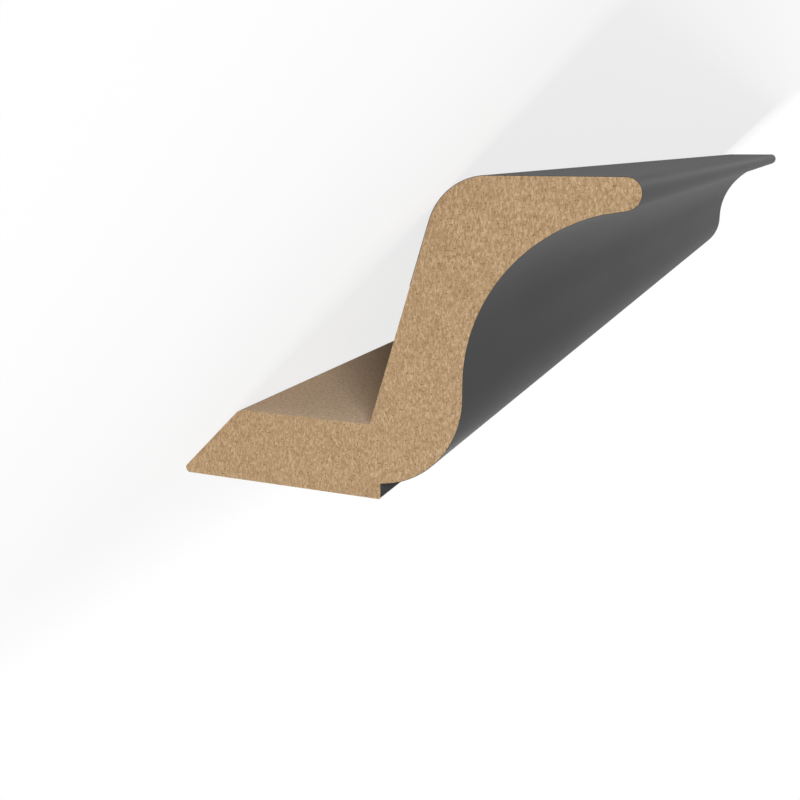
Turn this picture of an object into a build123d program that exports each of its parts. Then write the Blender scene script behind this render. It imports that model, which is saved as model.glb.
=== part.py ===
from build123d import *
from math import copysign, sqrt
import os

# Cornice moulding: one length of milled fibreboard, wrapped in a thin foil.
#
# The section is drawn as the moulding is fitted, on its foot: x points from
# the foot's front edge towards the nose, and y points up from the foot's
# underside. All sizes are of the finished moulding, foil included, in mm.
# The finished solids are then turned to lie on their back, on the foot's
# bevel and the rounded back corner, as a loose length comes to rest.

# Overall sizes
LENGTH = 487.0
HEIGHT = 60.0
NOSE_PROJECTION = 45.3

# Foot, the flat flange that is screwed down
FOOT_THICKNESS = 14.5
FOOT_EDGE_RADIUS = 2.5
FOOT_FRONT_RADIUS = 0.4
BEVEL_ANGLE = 45.0
BEVEL_TIP_RADIUS = 0.9

# Bulge, the rounded lower half of the show face, above a small step
STEP_HEIGHT = 3.1
BULGE_RADIUS = 18.0
BULGE_PROJECTION = 15.95

# Neck, the short upright between the bulge and the cove
NECK_HEIGHT = 3.05

# Nose, the thin lip along the top, with a flat underside that the cove runs into
NOSE_RADIUS = 2.75
NOSE_UNDERSIDE_ANGLE = 10.1
NOSE_UNDERSIDE_LENGTH = 4.25

# Back, from the foot's front edge to where the slope meets the foot, and up
SLOPE_SETBACK = 2.2
BACK_SLOPE_ANGLE = 17.0
BACK_CORNER_RADIUS = 11.0

# Foil
FOIL_THICKNESS = 0.1
FOIL_BACK_LAP = 12.0


def turned(direction, degrees):
    """A direction in the section, turned anticlockwise."""
    return direction.rotate(Axis.Z, degrees)


def at_height(point, direction, height):
    """Where a straight line through a point reaches a height."""
    return point + direction * ((height - point.Y) / direction.Y)


# Directions in the section
forwards = Vector(1, 0)
upwards = Vector(0, 1)
underside_forwards = turned(forwards, NOSE_UNDERSIDE_ANGLE)
underside_out = turned(-upwards, NOSE_UNDERSIDE_ANGLE)
slope_up = turned(upwards, -BACK_SLOPE_ANGLE)
slope_out = turned(-forwards, -BACK_SLOPE_ANGLE)
bevel_up = turned(forwards, BEVEL_ANGLE)
bevel_out = turned(upwards, BEVEL_ANGLE)

# Bulge: its arc starts at the top of the step and ends upright at the neck.
bulge_x = BULGE_PROJECTION - BULGE_RADIUS
bulge_centre = Vector(bulge_x, STEP_HEIGHT + sqrt(BULGE_RADIUS**2 - bulge_x**2))

# Cove: its arc leaves the neck upright and ends at the nose's underside.
nose_centre = Vector(NOSE_PROJECTION - NOSE_RADIUS, HEIGHT - NOSE_RADIUS)
underside_end = nose_centre + underside_out * NOSE_RADIUS
cove_top = underside_end - underside_forwards * NOSE_UNDERSIDE_LENGTH
neck_top = Vector(BULGE_PROJECTION, bulge_centre.Y + NECK_HEIGHT)
cove_chord = cove_top - neck_top
cove_radius = cove_chord.length**2 / (2 * cove_chord.X)
cove_centre = neck_top + forwards * cove_radius

# Back corner: its arc runs from the foil on the top to the foil on the slope.
slope_foot = Vector(-SLOPE_SETBACK, FOOT_THICKNESS)
corner_line = slope_foot - slope_out * (BACK_CORNER_RADIUS - FOIL_THICKNESS)
corner_centre = at_height(corner_line, slope_up, HEIGHT - BACK_CORNER_RADIUS)

# Bevel: its plane touches the back corner, so that the moulding lies on both.
bevel_touch = corner_centre + bevel_out * BACK_CORNER_RADIUS
bevel_top = at_height(bevel_touch, bevel_up, FOOT_THICKNESS)
bevel_tip = at_height(bevel_touch, bevel_up, 0)


def cove_top_below(inset):
    """The corner between the cove and the nose's underside, this far below the surface."""
    to_corner = cove_top - cove_centre
    distance = -to_corner.dot(underside_out) + inset
    reach = sqrt((cove_radius + inset) ** 2 - distance**2)
    side = copysign(reach, to_corner.dot(underside_forwards))
    return cove_centre - underside_out * distance + underside_forwards * side


def show_face(inset):
    """The outline under the foil, this far below the surface, from the step's front face
    round the bulge, cove, nose, top and back corner to the foil's end on the slope."""
    front_x = -inset
    step_bottom = Vector(front_x, FOOT_FRONT_RADIUS)
    bulge_inset = BULGE_RADIUS - inset
    bulge_drop = sqrt(bulge_inset**2 - (front_x - bulge_x) ** 2)
    step_top = Vector(front_x, bulge_centre.Y - bulge_drop)
    neck_bottom = bulge_centre + forwards * bulge_inset
    neck_end = neck_top - forwards * inset
    cove_end = cove_top_below(inset)
    nose_inset = NOSE_RADIUS - inset
    nose_bottom = nose_centre + underside_out * nose_inset
    nose_top = nose_centre + upwards * nose_inset
    corner_inset = BACK_CORNER_RADIUS - inset
    corner_top = corner_centre + upwards * corner_inset
    corner_end = corner_centre + slope_out * corner_inset
    return [
        Line(step_bottom, step_top),
        RadiusArc(step_top, neck_bottom, -bulge_inset),
        Line(neck_bottom, neck_end),
        RadiusArc(neck_end, cove_end, cove_radius + inset),
        Line(cove_end, nose_bottom),
        RadiusArc(nose_bottom, nose_top, -nose_inset),
        Line(nose_top, corner_top),
        RadiusArc(corner_top, corner_end, -corner_inset),
        Line(corner_end, corner_end - slope_up * FOIL_BACK_LAP),
    ]


def rounded(corner, towards_start, towards_end, radius):
    """Where the arc starts and ends that rounds a corner between two straights."""
    bisector = turned(forwards, towards_start.get_angle(towards_end) / 2)
    setback = radius * bisector.X / bisector.Y
    return corner + towards_start * setback, corner + towards_end * setback


def bare_outline(start, end):
    """The outline of the bare fibreboard, from the foil's end on the slope down to the
    foot, over its edge and bevel, along its underside and round its front edge."""
    edge_start, edge_end = rounded(bevel_top, forwards, -bevel_up, FOOT_EDGE_RADIUS)
    tip_start, tip_end = rounded(bevel_tip, bevel_up, forwards, BEVEL_TIP_RADIUS)
    front_edge = Vector(end.X - FOOT_FRONT_RADIUS, 0)
    return [
        Line(start, slope_foot),
        Line(slope_foot, edge_start),
        RadiusArc(edge_start, edge_end, -FOOT_EDGE_RADIUS),
        Line(edge_end, tip_start),
        RadiusArc(tip_start, tip_end, -BEVEL_TIP_RADIUS),
        Line(tip_end, front_edge),
        RadiusArc(front_edge, end, -FOOT_FRONT_RADIUS),
    ]


def milled_section():
    """The fibreboard: the show face below the foil, and the bare outline."""
    covered = show_face(FOIL_THICKNESS)
    return covered + bare_outline(covered[-1] @ 1, covered[0] @ 0)


def foil_section():
    """The foil: a strip between the finished surface and the fibreboard."""
    outer = show_face(0)
    inner = show_face(FOIL_THICKNESS)
    front_end = Line(outer[0] @ 0, inner[0] @ 0)
    back_end = Line(outer[-1] @ 1, inner[-1] @ 1)
    return outer + inner + [front_end, back_end]


def length_of(section):
    """A closed section, extruded over the whole length about its middle, and turned from
    the fitted position so that the bevel faces the floor."""
    face = Plane.XZ * make_face(section)
    return Rot(Y=BEVEL_ANGLE - 180) * extrude(face, LENGTH / 2, both=True)


mdf_core = length_of(milled_section())
decor_foil = length_of(foil_section())

# The origin is in the middle of the moulding's box, at the floor.
box = Compound([mdf_core, decor_foil]).bounding_box()
to_floor = Pos(-box.center().X, -box.center().Y, -box.min.Z)

os.makedirs("parts", exist_ok=True)
export_step(to_floor * mdf_core, "parts/mdf_core.step")
export_step(to_floor * decor_foil, "parts/decor_foil.step")
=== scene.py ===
import math

import bpy
import numpy as np
from mathutils import Matrix, Vector, noise
from mathutils.geometry import delaunay_2d_cdt


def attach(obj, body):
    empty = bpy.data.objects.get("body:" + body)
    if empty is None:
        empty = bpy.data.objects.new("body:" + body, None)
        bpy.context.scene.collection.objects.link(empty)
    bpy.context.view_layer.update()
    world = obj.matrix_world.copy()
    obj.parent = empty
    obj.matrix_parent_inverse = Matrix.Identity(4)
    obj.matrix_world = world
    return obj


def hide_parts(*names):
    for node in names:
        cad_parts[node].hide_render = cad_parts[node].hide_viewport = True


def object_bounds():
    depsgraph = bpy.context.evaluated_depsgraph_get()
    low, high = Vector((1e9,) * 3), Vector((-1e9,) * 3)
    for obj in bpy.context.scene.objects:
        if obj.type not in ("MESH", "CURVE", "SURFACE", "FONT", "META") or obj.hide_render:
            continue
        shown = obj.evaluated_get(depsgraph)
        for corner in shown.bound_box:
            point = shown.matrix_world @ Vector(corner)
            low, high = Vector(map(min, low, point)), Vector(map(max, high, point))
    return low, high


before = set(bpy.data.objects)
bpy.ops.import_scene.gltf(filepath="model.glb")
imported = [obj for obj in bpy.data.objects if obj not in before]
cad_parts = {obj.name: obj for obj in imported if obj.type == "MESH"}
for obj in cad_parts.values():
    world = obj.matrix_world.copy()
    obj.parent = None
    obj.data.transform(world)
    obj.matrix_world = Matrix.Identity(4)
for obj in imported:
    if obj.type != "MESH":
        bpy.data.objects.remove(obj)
cad_low, cad_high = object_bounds()

MM = 0.001

# The section, in mm, drawn as the moulding is fitted on its foot: x points
# from the foot's front edge towards the nose, and z up from its underside.
HEIGHT = 60.0
NOSE_PROJECTION = 45.3
FOOT_THICKNESS = 14.5
FOOT_EDGE_RADIUS = 2.5
FOOT_FRONT_RADIUS = 0.4
BEVEL_ANGLE = 45.0
BEVEL_TIP_RADIUS = 0.9
STEP_HEIGHT = 3.1
BULGE_RADIUS = 18.0
BULGE_PROJECTION = 15.95
NECK_HEIGHT = 3.05
NOSE_RADIUS = 2.75
NOSE_UNDERSIDE_ANGLE = 10.1
NOSE_UNDERSIDE_LENGTH = 4.25
SLOPE_SETBACK = 2.2
BACK_SLOPE_ANGLE = 17.0
BACK_CORNER_RADIUS = 11.0
FOIL_THICKNESS = 0.1
FOIL_BACK_LAP = 12.0

# The turn from the fitted position to where the moulding lies on its bevel and back corner
LYING_TURN = math.radians(180 - BEVEL_ANGLE)

# How finely the meshes follow the section, in degrees round its arcs and in mm
# along its straights and along the length
ARC_STEP_DEGREES = 3.0
STRAIGHT_STEP = 1.2
LENGTH_STEP = 6.0

# Corners that turn by more than this are shaded sharp
SHARP_DEGREES = 30.0

# The sawn ends, in mm: how deep the saw has torn them, the width of the torn patches,
# the spacing of the mesh's points there, how far each is moved at random, and how far
# they stay from the outline
SAWN_RELIEF = 0.03
SAWN_PATCH = 2.5
SAWN_STEP = 0.8
SAWN_SCATTER = 0.2
SAWN_MARGIN = 0.6 * SAWN_STEP
SEED = 5

# What delaunay_2d_cdt takes: triangles inside the outline only, and points this
# near to each other, in mm, taken as one
INSIDE_ONLY = 1
SAME_POINT = 1e-5


def direction(degrees):
    """A unit vector in the section, at this angle from forwards."""
    return np.array([math.cos(math.radians(degrees)), math.sin(math.radians(degrees))])


def at_height(point, along, height):
    """Where a straight line through a point reaches a height."""
    return point + along * (height - point[1]) / along[1]


# Directions and points of the section
FORWARDS = direction(0)
UPWARDS = direction(90)
underside_forwards = direction(NOSE_UNDERSIDE_ANGLE)
underside_out = direction(NOSE_UNDERSIDE_ANGLE - 90)
slope_up = direction(90 - BACK_SLOPE_ANGLE)
slope_out = direction(180 - BACK_SLOPE_ANGLE)
bevel_up = direction(BEVEL_ANGLE)
bevel_out = direction(90 + BEVEL_ANGLE)

bulge_x = BULGE_PROJECTION - BULGE_RADIUS
bulge_centre = np.array([bulge_x, STEP_HEIGHT + math.sqrt(BULGE_RADIUS**2 - bulge_x**2)])
nose_centre = np.array([NOSE_PROJECTION - NOSE_RADIUS, HEIGHT - NOSE_RADIUS])
underside_end = nose_centre + underside_out * NOSE_RADIUS
cove_top = underside_end - underside_forwards * NOSE_UNDERSIDE_LENGTH
neck_top = np.array([BULGE_PROJECTION, bulge_centre[1] + NECK_HEIGHT])
cove_chord = cove_top - neck_top
cove_radius = (cove_chord @ cove_chord) / (2 * cove_chord[0])
cove_centre = neck_top + FORWARDS * cove_radius
slope_foot = np.array([-SLOPE_SETBACK, FOOT_THICKNESS])
corner_line = slope_foot - slope_out * (BACK_CORNER_RADIUS - FOIL_THICKNESS)
corner_centre = at_height(corner_line, slope_up, HEIGHT - BACK_CORNER_RADIUS)
bevel_touch = corner_centre + bevel_out * BACK_CORNER_RADIUS
bevel_top = at_height(bevel_touch, bevel_up, FOOT_THICKNESS)
bevel_tip = at_height(bevel_touch, bevel_up, 0)


def straight(start, end):
    """Points along a straight, without its last one."""
    count = max(1, round(np.linalg.norm(end - start) / STRAIGHT_STEP))
    return [start + (end - start) * i / count for i in range(count)]


def arc(centre, start, end, clockwise=False):
    """Points along an arc round a centre, without its last one."""
    a = math.atan2(*(start - centre)[::-1])
    b = math.atan2(*(end - centre)[::-1])
    turn = (b - a) % math.tau
    if clockwise:
        turn -= math.tau
    radius = np.linalg.norm(start - centre)
    count = max(2, round(abs(math.degrees(turn)) / ARC_STEP_DEGREES))
    angles = [a + turn * i / count for i in range(count)]
    return [centre + radius * np.array([math.cos(t), math.sin(t)]) for t in angles]


def cove_top_below(inset):
    """The corner between the cove and the nose's underside, this far below the surface."""
    to_corner = cove_top - cove_centre
    distance = -to_corner @ underside_out + inset
    reach = math.sqrt((cove_radius + inset) ** 2 - distance**2)
    side = math.copysign(reach, to_corner @ underside_forwards)
    return cove_centre - underside_out * distance + underside_forwards * side


def show_face(inset):
    """The foiled outline, this far below the finished surface."""
    step_bottom = np.array([-inset, FOOT_FRONT_RADIUS])
    bulge_inset = BULGE_RADIUS - inset
    bulge_drop = math.sqrt(bulge_inset**2 - (-inset - bulge_x) ** 2)
    step_top = np.array([-inset, bulge_centre[1] - bulge_drop])
    neck_bottom = bulge_centre + FORWARDS * bulge_inset
    neck_end = neck_top - FORWARDS * inset
    cove_end = cove_top_below(inset)
    nose_bottom = nose_centre + underside_out * (NOSE_RADIUS - inset)
    nose_top = nose_centre + UPWARDS * (NOSE_RADIUS - inset)
    corner_top = corner_centre + UPWARDS * (BACK_CORNER_RADIUS - inset)
    corner_end = corner_centre + slope_out * (BACK_CORNER_RADIUS - inset)
    lap_end = corner_end - slope_up * FOIL_BACK_LAP
    return (
        straight(step_bottom, step_top)
        + arc(bulge_centre, step_top, neck_bottom)
        + straight(neck_bottom, neck_end)
        + arc(cove_centre, neck_end, cove_end, clockwise=True)
        + straight(cove_end, nose_bottom)
        + arc(nose_centre, nose_bottom, nose_top)
        + straight(nose_top, corner_top)
        + arc(corner_centre, corner_top, corner_end)
        + straight(corner_end, lap_end)
        + [lap_end]
    )


def rounded(corner, towards_start, towards_end, radius):
    """Points round a rounded corner, with both its ends."""
    half = math.acos(towards_start @ towards_end) / 2
    setback = radius / math.tan(half)
    bisector = (towards_start + towards_end) / np.linalg.norm(towards_start + towards_end)
    centre = corner + bisector * radius / math.sin(half)
    start = corner + towards_start * setback
    end = corner + towards_end * setback
    return arc(centre, start, end) + [end]


def bare_outline(start, end):
    """The bare outline from the foil's end on the slope to the foot's front, ends left out."""
    edge = rounded(bevel_top, FORWARDS, -bevel_up, FOOT_EDGE_RADIUS)
    tip = rounded(bevel_tip, bevel_up, FORWARDS, BEVEL_TIP_RADIUS)
    front = end + np.array([0.0, -FOOT_FRONT_RADIUS])
    arris = rounded(front, -FORWARDS, UPWARDS, FOOT_FRONT_RADIUS)
    return (
        straight(start, slope_foot)[1:]
        + straight(slope_foot, edge[0])
        + edge[:-1]
        + straight(edge[-1], tip[0])
        + tip[:-1]
        + straight(tip[-1], arris[0])
        + arris[:-1]
    )


def floor_place(points):
    """Section points, turned to lie on the bevel and back corner, in metres."""
    turn = LYING_TURN
    x = [p[0] * math.cos(turn) - p[1] * math.sin(turn) for p in points]
    z = [p[0] * math.sin(turn) + p[1] * math.cos(turn) for p in points]
    return np.array([x, z]).T * MM


outer_skin = show_face(0.0)
inner_skin = show_face(FOIL_THICKNESS)
milled = inner_skin + bare_outline(inner_skin[-1], inner_skin[0])

# The frame's box gives where the turned section lies. The frame's arcs are coarser than
# these and fall a little short of them, so the section is scaled down to stay in that box.
turned_all = floor_place(outer_skin + milled)
turned_low = turned_all.min(axis=0)
turned_high = turned_all.max(axis=0)
box_low = np.array([cad_low.x, cad_low.z])
box_high = np.array([cad_high.x, cad_high.z])
fit = (box_high - box_low) / (turned_high - turned_low)
shift = box_low - turned_low * fit
near_y = cad_low.y
far_y = cad_high.y


def in_section(points):
    """Section points in mm, as x and z in the frame."""
    return floor_place(points) * fit + shift


def in_frame(point, depth):
    """A section point in mm, and a depth in mm behind the near end, in the frame."""
    x, z = in_section([point])[0]
    return Vector((x, near_y + depth * MM, z))


def sawn_depth(point):
    """How far, in metres, the saw has torn the end back from flat at a section point."""
    return SAWN_RELIEF * MM * (0.5 + 0.5 * noise.noise(Vector((*point, 0)) / SAWN_PATCH))


def extruded(name, outline, cap_points, cap_faces):
    """A closed mesh of an outline, stepped along the length, with the same cap at each end.

    The cap's points are the outline's own, in order, and then those inside it, which
    lie a little deeper. Also gives how many of the faces are caps."""
    placed = in_section(cap_points)
    rim = len(outline)
    depths_inside = [sawn_depth(p) for p in cap_points[rim:]]
    torn = [0.0] * rim + depths_inside
    steps = round((far_y - near_y) / (LENGTH_STEP * MM))
    vertices = [(x, near_y + deep, z) for (x, z), deep in zip(placed, torn)]
    rings = [list(range(rim))]
    for step in range(1, steps):
        y = near_y + (far_y - near_y) * step / steps
        rings.append(list(range(len(vertices), len(vertices) + rim)))
        vertices += [(x, y, z) for x, z in placed[:rim]]
    far_start = len(vertices)
    rings.append(list(range(far_start, far_start + rim)))
    vertices += [(x, far_y - deep, z) for (x, z), deep in zip(placed, torn)]
    faces = [tuple(face) for face in cap_faces]
    faces += [tuple(far_start + i for i in reversed(face)) for face in cap_faces]
    end_faces = len(faces)
    for near_ring, far_ring in zip(rings, rings[1:]):
        for i in range(rim):
            j = (i + 1) % rim
            faces.append((near_ring[j], near_ring[i], far_ring[i], far_ring[j]))
    mesh = bpy.data.meshes.new(name)
    mesh.from_pydata(vertices, [], faces)
    mesh.update()
    piece = bpy.data.objects.new(name, mesh)
    bpy.context.scene.collection.objects.link(piece)
    return piece, end_faces


def core_cap():
    """The sawn end of the fibreboard, as triangles with points spread inside."""
    outline = [Vector(p) for p in milled]
    count = len(outline)
    low = np.min(milled, axis=0)
    high = np.max(milled, axis=0)
    random = np.random.default_rng(SEED)
    grid = [
        Vector((x, z) + random.uniform(-SAWN_SCATTER, SAWN_SCATTER, 2))
        for x in np.arange(low[0], high[0], SAWN_STEP)
        for z in np.arange(low[1], high[1], SAWN_STEP)
    ]
    clear = [p for p in grid if min((p - q).length for q in outline) > SAWN_MARGIN]
    edges = [(i, (i + 1) % count) for i in range(count)]
    ring = list(range(count))
    points, _, triangles, *_ = delaunay_2d_cdt(
        outline + clear, edges, [ring], INSIDE_ONLY, SAME_POINT
    )
    inside = sorted({corner for triangle in triangles for corner in triangle})
    place = {corner: i for i, corner in enumerate(inside)}
    triangles = [[place[corner] for corner in triangle] for triangle in triangles]
    return [np.array(points[corner]) for corner in inside], triangles


def foil_cap():
    """The cut edge of the foil: a strip of quads between its two skins."""
    points = outer_skin + inner_skin[::-1]
    last = len(points) - 1
    faces = [(i, i + 1, last - i - 1, last - i) for i in range(len(outer_skin) - 1)]
    return points, faces


def shade_smooth_round(piece):
    """Smooth shading, with the sharp corners kept."""
    for face in piece.data.polygons:
        face.use_smooth = True
    piece.data.set_sharp_from_angle(angle=math.radians(SHARP_DEGREES))


WHITE = (1.0, 1.0, 1.0, 1.0)

# Most of a noise's values lie in this range
NOISE_RANGE = (0.3, 0.7)


def new_material(name):
    """A material with its nodes, its links and its shader."""
    material = bpy.data.materials.new(name)
    material.use_nodes = True
    nodes = material.node_tree.nodes
    shader = nodes["Principled BSDF"]
    return material, nodes, material.node_tree.links, shader


def srgb(*values):
    """A colour written as sRGB numbers from 0 to 255, as linear ones."""
    out = []
    for v in values:
        c = v / 255
        out.append(c / 12.92 if c <= 0.04045 else ((c + 0.055) / 1.055) ** 2.4)
    return (*out, 1.0)


def number_math(nodes, links, operation, first, second):
    """A number worked out from two others."""
    node = nodes.new("ShaderNodeMath")
    node.operation = operation
    links.new(first, node.inputs[0])
    links.new(second, node.inputs[1])
    return node.outputs[0]


def vector_math(nodes, links, operation, first, second=None):
    """A vector worked out from another, and from a fixed one where the operation takes two."""
    node = nodes.new("ShaderNodeVectorMath")
    node.operation = operation
    links.new(first, node.inputs[0])
    if second:
        node.inputs[1].default_value = second
    return node.outputs["Value" if operation == "LENGTH" else "Vector"]


def stretched(nodes, links, value, source, target, smooth=False):
    """A value's range from source, stretched to target and held at both its ends."""
    node = nodes.new("ShaderNodeMapRange")
    if smooth:
        node.interpolation_type = "SMOOTHSTEP"
    for socket, limit in zip(("From Min", "From Max", "To Min", "To Max"), source + target):
        node.inputs[socket].default_value = limit
    links.new(value, node.inputs["Value"])
    return node.outputs["Result"]


def noise_pattern(nodes, links, cell, detail=2.0, roughness=0.5):
    """Noise from 0 to 1, in cells of these sizes in mm along the fitted section's x,
    along the length and along the section's z."""
    where = nodes.new("ShaderNodeTexCoord")
    turn = nodes.new("ShaderNodeMapping")
    turn.inputs["Rotation"].default_value = (0, LYING_TURN, 0)
    links.new(where.outputs["Object"], turn.inputs["Vector"])
    size = tuple(side * MM for side in cell)
    in_cells = vector_math(nodes, links, "DIVIDE", turn.outputs["Vector"], size)
    pattern = nodes.new("ShaderNodeTexNoise")
    pattern.inputs["Scale"].default_value = 1.0
    pattern.inputs["Detail"].default_value = detail
    pattern.inputs["Roughness"].default_value = roughness
    links.new(in_cells, pattern.inputs["Vector"])
    return pattern.outputs["Fac"]


def ramp(nodes, links, factor, positions, colors):
    """A colour for each value of a factor, from a colour at each position."""
    node = nodes.new("ShaderNodeValToRGB")
    elements = node.color_ramp.elements
    while len(elements) < len(positions):
        elements.new(1.0)
    for element, position, color in zip(elements, positions, colors):
        element.position = position
        element.color = color
    links.new(factor, node.inputs["Fac"])
    return node.outputs["Color"]


def blend(nodes, links, factor, first, second):
    """The first colour where the factor is 0, and the second, given as linear values, at 1."""
    node = nodes.new("ShaderNodeMix")
    node.data_type = "RGBA"
    links.new(factor, node.inputs["Factor"])
    links.new(first, node.inputs["A"])
    node.inputs["B"].default_value = second
    return node.outputs["Result"]


def bump(nodes, links, shader, height, depth_mm, strength):
    """A relief of this depth on the shader's surface."""
    node = nodes.new("ShaderNodeBump")
    node.inputs["Distance"].default_value = depth_mm * MM
    node.inputs["Strength"].default_value = strength
    links.new(height, node.inputs["Height"])
    links.new(node.outputs["Normal"], shader.inputs["Normal"])


# The bare board, sawn or milled: how finely its fibres' noise is broken up and where
# their three colours lie in it, the size in mm and greatest share of its clouds, where
# its specks start and are full, and how rough, glossy and raised it is
FIBRE_DETAIL = 4.0
FIBRE_ROUGHNESS = 0.8
FIBRE_POSITIONS = (0.33, 0.5, 0.67)
CLOUD_CELL = (1.6, 5.0, 3.2)
CLOUD_SHARE = 0.35
SPECK_POSITIONS = (0.68, 0.76)
BOARD_ROUGHNESS = (0.82, 0.95)
BOARD_SPECULAR = 0.1
BOARD_BUMP = 0.5


def fibreboard(name, cell, colors, cloud_color, speck_color, speck_share, speck_size, depth_mm):
    """Pressed wood fibres: fine streaks in three colours, soft clouds and small dark specks."""
    material, nodes, links, shader = new_material(name)
    fibres = noise_pattern(nodes, links, cell, FIBRE_DETAIL, FIBRE_ROUGHNESS)
    color = ramp(nodes, links, fibres, FIBRE_POSITIONS, colors)
    clouds = noise_pattern(nodes, links, CLOUD_CELL)
    cloud_share = stretched(nodes, links, clouds, NOISE_RANGE, (0.0, CLOUD_SHARE))
    color = blend(nodes, links, cloud_share, color, cloud_color)
    specks = noise_pattern(nodes, links, (speck_size,) * 3, detail=0.0)
    none_and_full = ((0.0, 0.0, 0.0, 1.0), (speck_share, speck_share, speck_share, 1.0))
    share = ramp(nodes, links, specks, SPECK_POSITIONS, none_and_full)
    color = blend(nodes, links, share, color, speck_color)
    links.new(color, shader.inputs["Base Color"])
    roughness = stretched(nodes, links, fibres, NOISE_RANGE, BOARD_ROUGHNESS)
    links.new(roughness, shader.inputs["Roughness"])
    shader.inputs["Specular IOR Level"].default_value = BOARD_SPECULAR
    bump(nodes, links, shader, fibres, depth_mm, BOARD_BUMP)
    return material


def sawn_board():
    """The sawn ends: open fibres, most of them upright in the fitted section."""
    return fibreboard(
        "fibreboard_sawn",
        cell=(0.28, 1.0, 0.66),
        colors=(srgb(145, 115, 80), srgb(184, 154, 118), srgb(223, 194, 159)),
        cloud_color=srgb(172, 142, 106),
        speck_color=srgb(118, 90, 62),
        speck_share=0.75,
        speck_size=0.34,
        depth_mm=0.03,
    )


def milled_board():
    """The milled faces of the bare board: paler, pinker and closer than the sawn ends."""
    return fibreboard(
        "fibreboard_milled",
        cell=(0.5, 1.0, 0.5),
        # These colours are paler than the sawn end's. Partly that is the milled face's own
        # paler colour. Partly it is painted light, written paler than the board is so that the
        # foot's top, which lies shaded in a recess against the floor, renders lighter.
        colors=(srgb(181, 156, 129), srgb(207, 184, 158), srgb(228, 207, 183)),
        cloud_color=srgb(210, 184, 156),
        speck_color=srgb(150, 124, 98),
        speck_share=0.5,
        speck_size=0.4,
        depth_mm=0.01,
    )


# The foil: its two tones and their cells in mm, its fine grain and the relief of it,
# both in mm, and its sheen, which varies a little with the grain
FOIL_COLORS = (srgb(78, 78, 78), srgb(82, 82, 82))
FOIL_TONE_CELL = (20.0, 60.0, 20.0)
FOIL_GRAIN_CELL = (0.15, 0.15, 0.15)
FOIL_GRAIN_DEPTH = 0.003
FOIL_BUMP = 0.3
FOIL_ROUGHNESS = (0.42, 0.48)
FOIL_SPECULAR = 0.01


def foil_skin():
    """The dark grey decor foil: smooth and satin, a little uneven in tone and sheen."""
    material, nodes, links, shader = new_material("foil_satin")
    tone = noise_pattern(nodes, links, FOIL_TONE_CELL)
    links.new(ramp(nodes, links, tone, NOISE_RANGE, FOIL_COLORS), shader.inputs["Base Color"])
    grain = noise_pattern(nodes, links, FOIL_GRAIN_CELL, detail=1.0)
    sheen = stretched(nodes, links, grain, NOISE_RANGE, FOIL_ROUGHNESS)
    links.new(sheen, shader.inputs["Roughness"])
    shader.inputs["Specular IOR Level"].default_value = FOIL_SPECULAR
    bump(nodes, links, shader, grain, FOIL_GRAIN_DEPTH, FOIL_BUMP)
    return material


def build_core():
    """The length of fibreboard, sawn at its ends and milled along its length."""
    piece, end_faces = extruded("fibreboard_length", milled, *core_cap())
    piece.data.materials.append(sawn_board())
    piece.data.materials.append(milled_board())
    for i, face in enumerate(piece.data.polygons):
        face.material_index = 0 if i < end_faces else 1
    shade_smooth_round(piece)
    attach(piece, "root")
    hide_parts("mdf_core")


def build_foil():
    """The foil wrapped round the show face, the top and the back corner."""
    points, faces = foil_cap()
    piece, _ = extruded("foil_wrap", points, points, faces)
    piece.data.materials.append(foil_skin())
    shade_smooth_round(piece)
    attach(piece, "root")
    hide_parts("decor_foil")


# The photograph's camera, found from its vanishing points: its lens, how far it
# is turned to the left of the moulding's length, its downward pitch, and its
# place in mm from the near end's foot front edge, all in the fitted position.
SENSOR = 36.0
PICTURE = 800
FOCAL_PIXELS = 988.2
HORIZON_PIXEL = 146.0
YAW_DEGREES = 22.5
CAMERA_RIGHT = 70.85
CAMERA_BACK = 161.29
CAMERA_UP = 64.57

# The photograph's pixels were counted from the middle of its first one, so the
# camera is shifted by half a pixel.
HALF_PIXEL = 0.5 / PICTURE

# The nearest and farthest that the camera shows, in metres
CLIP_NEAR = 0.005
CLIP_FAR = 100.0


def make_camera():
    """The camera sees the moulding just as the photograph does. The moulding lies on its
    back here, so the camera is rolled along with it."""
    pitch = math.atan((PICTURE / 2 - HORIZON_PIXEL) / FOCAL_PIXELS)
    yaw = math.radians(YAW_DEGREES)
    turn = Matrix.Rotation(-LYING_TURN, 3, "Y")
    level = Vector((-math.sin(yaw), math.cos(yaw), 0))
    forward = level * math.cos(pitch) - Vector((0, 0, 1)) * math.sin(pitch)
    right = Vector((math.cos(yaw), math.sin(yaw), 0))
    up = right.cross(forward)
    axes = Matrix((turn @ right, turn @ up, turn @ -forward)).transposed()
    data = bpy.data.cameras.new("camera")
    data.sensor_width = SENSOR
    data.lens = FOCAL_PIXELS / PICTURE * SENSOR
    data.shift_x = -HALF_PIXEL
    data.shift_y = HALF_PIXEL
    data.clip_start = CLIP_NEAR
    data.clip_end = CLIP_FAR
    camera = bpy.data.objects.new("camera", data)
    place = in_frame(np.array([CAMERA_RIGHT, CAMERA_UP]), -CAMERA_BACK)
    camera.matrix_world = Matrix.Translation(place) @ axes.to_4x4()
    bpy.context.scene.collection.objects.link(camera)
    bpy.context.scene.camera = camera


def seen_directly(nodes, links):
    """1 for rays that show the background itself: from the camera, in gloss, through glass."""
    path = nodes.new("ShaderNodeLightPath")
    seen = path.outputs["Is Camera Ray"]
    for name in ("Is Glossy Ray", "Is Transmission Ray"):
        seen = number_math(nodes, links, "MAXIMUM", seen, path.outputs[name])
    return seen


def show_white(nodes, links, share, lit, white, output):
    """The surface as it is lit, with this share of plain white shown over it."""
    mix = nodes.new("ShaderNodeMixShader")
    links.new(share, mix.inputs["Fac"])
    links.new(lit.outputs[0], mix.inputs[1])
    links.new(white.outputs[0], mix.inputs[2])
    links.new(mix.outputs[0], nodes[output].inputs["Surface"])


WORLD_LIGHT = 0.15


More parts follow.
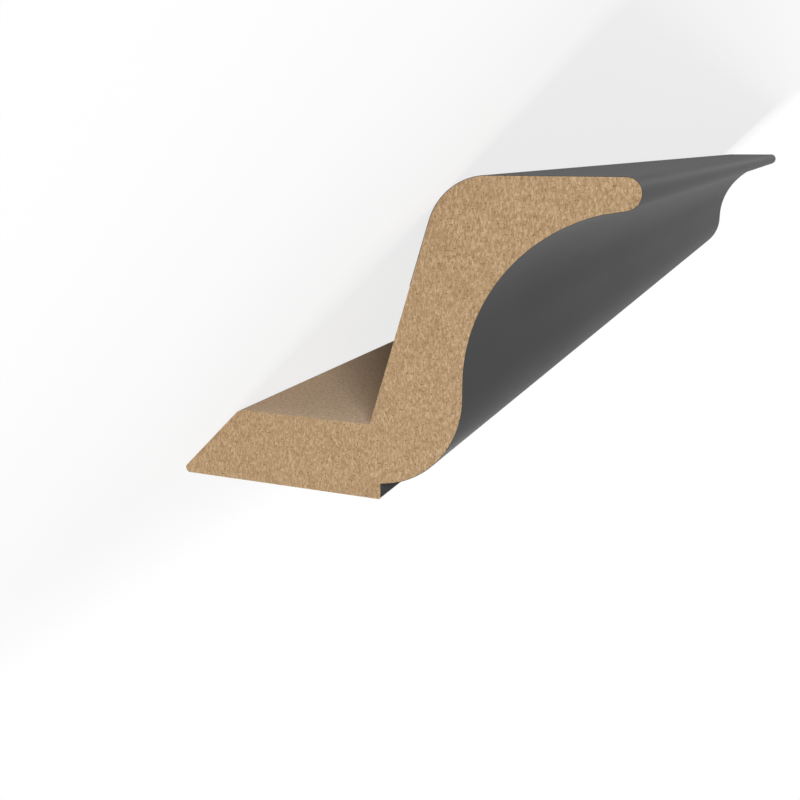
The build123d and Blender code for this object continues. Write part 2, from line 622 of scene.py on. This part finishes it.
def make_world():
    """Soft light from all round, and white where the background itself is seen."""
    world = bpy.data.worlds.new("studio")
    world.use_nodes = True
    nodes, links = world.node_tree.nodes, world.node_tree.links
    light = nodes["Background"]
    light.inputs["Color"].default_value = WHITE
    light.inputs["Strength"].default_value = WORLD_LIGHT
    white = nodes.new("ShaderNodeBackground")
    white.inputs["Color"].default_value = WHITE
    white.inputs["Strength"].default_value = 1.0
    show_white(nodes, links, seen_directly(nodes, links), light, white, "World Output")
    bpy.context.scene.world = world


FLOOR_SIZE = 40.0
FLOOR_COLOR = (0.9, 0.9, 0.9, 1.0)

# The floor shows the shadow beside the moulding and fades to plain white away from it:
# from and to these distances in metres, with these shares of white
SHADOW_REACH = (0.0, 0.12)
SHOWN_WHITE = (0.8, 1.0)


def beside_moulding(nodes, links):
    """How far, in metres, a place on the floor lies outside the moulding's footprint."""
    beside = nodes.new("ShaderNodeTexCoord").outputs["Object"]
    beside = vector_math(nodes, links, "ABSOLUTE", beside)
    beside = vector_math(nodes, links, "SUBTRACT", beside, (cad_high.x, cad_high.y, 0.0))
    beside = vector_math(nodes, links, "MAXIMUM", beside, (0.0, 0.0, 0.0))
    return vector_math(nodes, links, "LENGTH", beside)


def make_floor():
    """A plain pale floor, which keeps the moulding's shadow."""
    bpy.ops.mesh.primitive_plane_add(size=FLOOR_SIZE, location=(0, 0, 0))
    floor = bpy.context.object
    floor.name = "floor"
    material, nodes, links, shader = new_material("floor_white")
    shader.inputs["Base Color"].default_value = FLOOR_COLOR
    shader.inputs["Roughness"].default_value = 1.0
    shader.inputs["Specular IOR Level"].default_value = 0.0
    white = nodes.new("ShaderNodeEmission")
    white.inputs["Strength"].default_value = 1.0
    distance = beside_moulding(nodes, links)
    fade = stretched(nodes, links, distance, SHADOW_REACH, SHOWN_WHITE, smooth=True)
    share = number_math(nodes, links, "MULTIPLY", seen_directly(nodes, links), fade)
    show_white(nodes, links, share, shader, white, "Material Output")
    floor.data.materials.append(material)


# Each lamp's place in the frame, its width and height, all in metres, and its watts
LAMPS = {
    "right_above": ((1.0, -0.1, 1.0), 0.7, 0.7, 12.0),
    "right_behind": ((1.0, 1.2, 0.8), 0.7, 0.7, 8.0),
    "front_left": ((-0.95, -1.55, 0.12), 1.1, 0.16, 21.2),
    "left_behind": ((-1.25, 1.5, 0.1), 0.6, 0.16, 8.5),
}
LAMP_AIM = Vector((0.0, -0.15, 0.02))


def area_lamp(name, place, width, height, watts):
    """A softbox of this width and height in metres, turned towards the moulding."""
    data = bpy.data.lights.new(name, "AREA")
    data.shape = "RECTANGLE"
    data.size = width
    data.size_y = height
    data.energy = watts
    lamp = bpy.data.objects.new(name, data)
    lamp.location = place
    lamp.rotation_euler = (LAMP_AIM - Vector(place)).to_track_quat("-Z", "Y").to_euler()
    bpy.context.scene.collection.objects.link(lamp)


make_camera()
make_world()
make_floor()
for lamp_name, lamp_values in LAMPS.items():
    area_lamp(lamp_name, *lamp_values)
build_core()
build_foil()

bpy.context.scene.view_settings.view_transform = "Standard"
